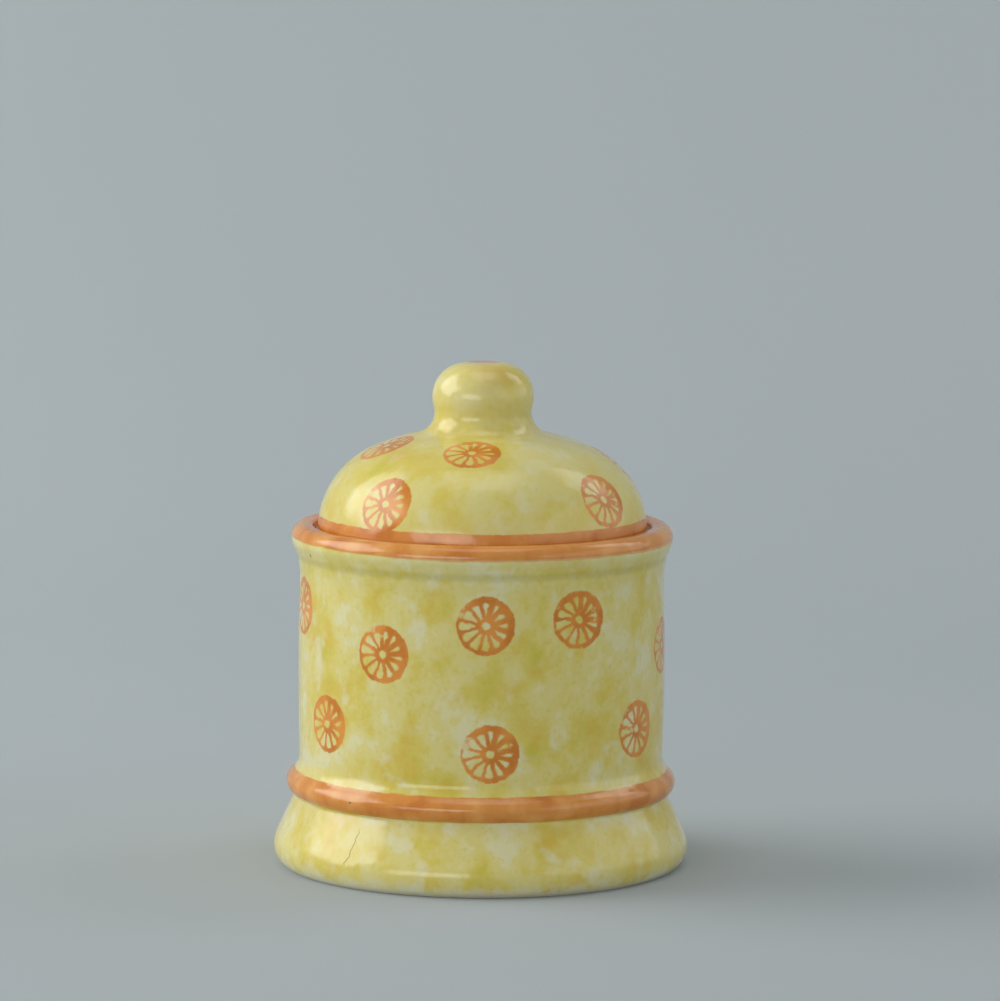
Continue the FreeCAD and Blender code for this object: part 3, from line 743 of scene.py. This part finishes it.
def lid_extras(w, mm, height, radius, colour):
    """Glaze run thicker and browner round the neck of the knob and on the knob's front."""
    neck = w.ridge(height, 107.0, 0.5, 5.0)
    patch = w.rise(noise(w, mm, 0.22, 2.0, 0.5, 43.0), 0.42, 0.62)
    colour = tint(w, colour, (205, 184, 84), neck, patch, 0.40)
    off = w.vector("DISTANCE", w.vector("MULTIPLY", mm, (0.7, 1.0, 1.3)), (1.6, -8.0, 153.5), out=1)
    run = w.rise(w.sum("MULTIPLY_ADD", patch, 1.5, w.product(off, -1.0)), -5.5, -1.5)
    colour = tint(w, colour, (212, 180, 88), run, 0.55)
    return colour, 0.0, 0.0


# ---------------------------------------------------------------- the studio


def looked_at(w):
    """1 for the rays that show a thing, straight, in a shine or through glass, and 0 for the rest."""
    ray = w.add("ShaderNodeLightPath").node.outputs
    seen = w.sum("MAXIMUM", ray["Is Camera Ray"], ray["Is Glossy Ray"])
    return w.sum("MAXIMUM", seen, ray["Is Transmission Ray"])


def backdrop_paper():
    """Pale matt paper that passes into plain grey far off. From its back it is clear."""
    material = bpy.data.materials.new("backdrop_paper")
    material.use_nodes = True
    shader = material.node_tree.nodes["Principled BSDF"]
    w = Wiring(material.node_tree)
    place = w.add("ShaderNodeTexCoord", out=3)
    tone = noise(w, place, 3.0, 3.0, 0.5, 0.0)
    w.feed(shader.inputs["Base Color"], mix(w, tone, srgb(172, 180, 182), srgb(180, 187, 189)))
    shader.inputs["Roughness"].default_value = 0.9
    shader.inputs["Specular IOR Level"].default_value = 0.1
    seen = looked_at(w)
    distant = w.rise(w.vector("LENGTH", place, out=1), GREY_FROM, GREY_FULL)
    pale = w.add("ShaderNodeEmission", srgb(*FAR_GREY), 1.0)
    paper = w.add("ShaderNodeMixShader", w.product(distant, seen), shader.outputs[0], pale)
    behind = w.add("ShaderNodeNewGeometry").node.outputs["Backfacing"]
    clear = w.add("ShaderNodeBsdfTransparent")
    paper = w.add("ShaderNodeMixShader", w.product(behind, seen), paper, clear)
    w.feed(material.node_tree.nodes["Material Output"].inputs["Surface"], paper)
    return material


def backdrop_sheet():
    """The paper that is the floor and sweeps up behind the pot."""
    profile = [(-FLOOR_REACH, 0.0), (SWEEP_START, 0.0)]
    for step in range(1, SWEEP_STEPS + 1):
        turn = math.radians(90 * step / SWEEP_STEPS)
        back = SWEEP_START + SWEEP_RADIUS * math.sin(turn)
        profile.append((back, SWEEP_RADIUS - SWEEP_RADIUS * math.cos(turn)))
    profile.append((SWEEP_START + SWEEP_RADIUS, WALL_TOP))
    rows = [(x, y, z) for y, z in profile for x in (-FLOOR_REACH, FLOOR_REACH)]
    faces = [(2 * i, 2 * i + 1, 2 * i + 3, 2 * i + 2) for i in range(len(profile) - 1)]
    mesh = bpy.data.meshes.new("backdrop")
    mesh.from_pydata(rows, [], faces)
    mesh.materials.append(backdrop_paper())
    for polygon in mesh.polygons:
        polygon.use_smooth = True
    sheet = bpy.data.objects.new("backdrop", mesh)
    bpy.context.collection.objects.link(sheet)


def soft_light(name, turn, rise, far, size, power, fade, roll=0.0):
    """A rectangular soft light facing the pot, at degrees from the front and above level.

    Its edges fade over the given shares of its size: left, right, low and high.
    """
    lamp = bpy.data.lights.new(name, "AREA")
    lamp.shape = "RECTANGLE"
    lamp.size, lamp.size_y = size
    lamp.energy = power
    lamp.use_nodes = True
    w = Wiring(lamp.node_tree)
    spot = w.add("ShaderNodeNewGeometry").node.outputs["Parametric"]
    u, v = (w.add("ShaderNodeSeparateXYZ", spot).node.outputs[i] for i in (0, 1))
    ways = (u, w.sum("SUBTRACT", 1.0, u), v, w.sum("SUBTRACT", 1.0, v))
    glow = 1.0 / ((1.0 - (fade[0] + fade[1]) / 2) * (1.0 - (fade[2] + fade[3]) / 2))
    for way, share in zip(ways, fade):
        glow = w.product(w.rise(way, 0.0, share), glow)
    w.feed(lamp.node_tree.nodes["Emission"].inputs["Strength"], glow)
    light = bpy.data.objects.new(name, lamp)
    turn, rise = math.radians(turn), math.radians(rise)
    outwards = Vector((math.sin(turn) * math.cos(rise), -math.cos(turn) * math.cos(rise), math.sin(rise)))
    light.location = POT_MIDDLE + outwards * far
    facing = outwards.to_track_quat("Z", "Y").to_matrix() @ Matrix.Rotation(math.radians(roll), 3, "Z")
    light.rotation_euler = facing.to_euler()
    light.visible_camera = False
    bpy.context.collection.objects.link(light)


def light_studio():
    """A dim even world, seen as the background's grey, and five soft lights.

    The strongest is high at the left, with a weaker one low in front of it. At the right are a
    smaller one and a broad dim one like a lit wall, and a weak one hangs overhead.
    """
    world = bpy.data.worlds.new("studio")
    bpy.context.scene.world = world
    world.use_nodes = True
    sky = world.node_tree.nodes["Background"]
    sky.inputs["Color"].default_value = (0.93, 0.97, 1.0, 1.0)
    sky.inputs["Strength"].default_value = 0.25
    w = Wiring(world.node_tree)
    pale = w.add("ShaderNodeBackground", srgb(*FAR_GREY), 1.0)
    both = w.add("ShaderNodeMixShader", looked_at(w), sky.outputs[0], pale)
    w.feed(world.node_tree.nodes["World Output"].inputs["Surface"], both)
    soft_light("window_left", -105.0, 30.0, 1.6, (2.4, 1.5), 21.5, (0.50, 0.12, 0.35, 0.20), -20.0)
    soft_light("low_front_left", -28.0, 9.0, 1.7, (1.8, 0.8), 6.6, (0.25, 0.25, 0.4, 0.4))
    soft_light("window_right", 126.0, 43.0, 1.7, (1.3, 1.1), 4.0, (0.25, 0.25, 0.3, 0.3))
    soft_light("wall_right", 92.0, 20.0, 1.5, (4.8, 1.3), 9.5, (0.08, 0.08, 0.3, 0.3))
    soft_light("overhead", 0.0, 86.0, 1.7, (1.4, 1.4), 4.2, (0.3, 0.3, 0.3, 0.3))


def place_camera():
    """The camera at its far, slightly raised place, turned a little on its axis."""
    data = bpy.data.cameras.new("camera")
    data.lens = LENS
    data.sensor_width = SENSOR
    data.clip_end = CAMERA_SIGHT
    camera = bpy.data.objects.new("camera", data)
    forward = Vector((0.0, math.cos(CAMERA_DOWN), -math.sin(CAMERA_DOWN)))
    above = Vector((0.0, math.sin(CAMERA_DOWN), math.cos(CAMERA_DOWN)))
    right = Vector((1.0, 0.0, 0.0))
    turn, lean = math.cos(CAMERA_ROLL), math.sin(CAMERA_ROLL)
    x_axis = right * turn + above * lean
    y_axis = above * turn - right * lean
    spot = CAMERA_AIM - forward * CAMERA_FAR
    camera.matrix_world = Matrix(
        [(x_axis[i], y_axis[i], -forward[i], spot[i]) for i in range(3)] + [(0, 0, 0, 1)]
    )
    bpy.context.collection.objects.link(camera)
    bpy.context.scene.camera = camera


stamp = slice_stamp()
turning = clay_turning()
pot_glaze = glaze("pot_glaze_yellow", 1.0, stamp, pot_bands, pot_inside, pot_extras)
lid_glaze = glaze("lid_glaze_yellow", 0.6, stamp, lid_bands, lid_inside, lid_extras)

pot_line = press_groove(fair(outline(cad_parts["pot"], 0.0), PROFILE_STEP), *LIP_GROOVE)
lid_line = fair(outline(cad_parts["lid"], NOTCH_TURN), PROFILE_STEP)
pot = turn_piece("turned_pot", pot_line, turning, POT_SEED, pot_glaze)
lid = cut_notch(turn_piece("turned_lid", lid_line, turning, LID_SEED, lid_glaze))

for piece, presses, node, slot in (
    (pot, POT_SLICES, "pot", "pot_glaze"),
    (lid, LID_SLICES, "lid", "lid_glaze"),
):
    piece.data.set_sharp_from_angle(angle=SHARP)
    press_slices(piece, presses)
    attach(piece, "root")
    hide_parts(node)

backdrop_sheet()
light_studio()
place_camera()
bpy.context.scene.view_settings.view_transform = "Standard"
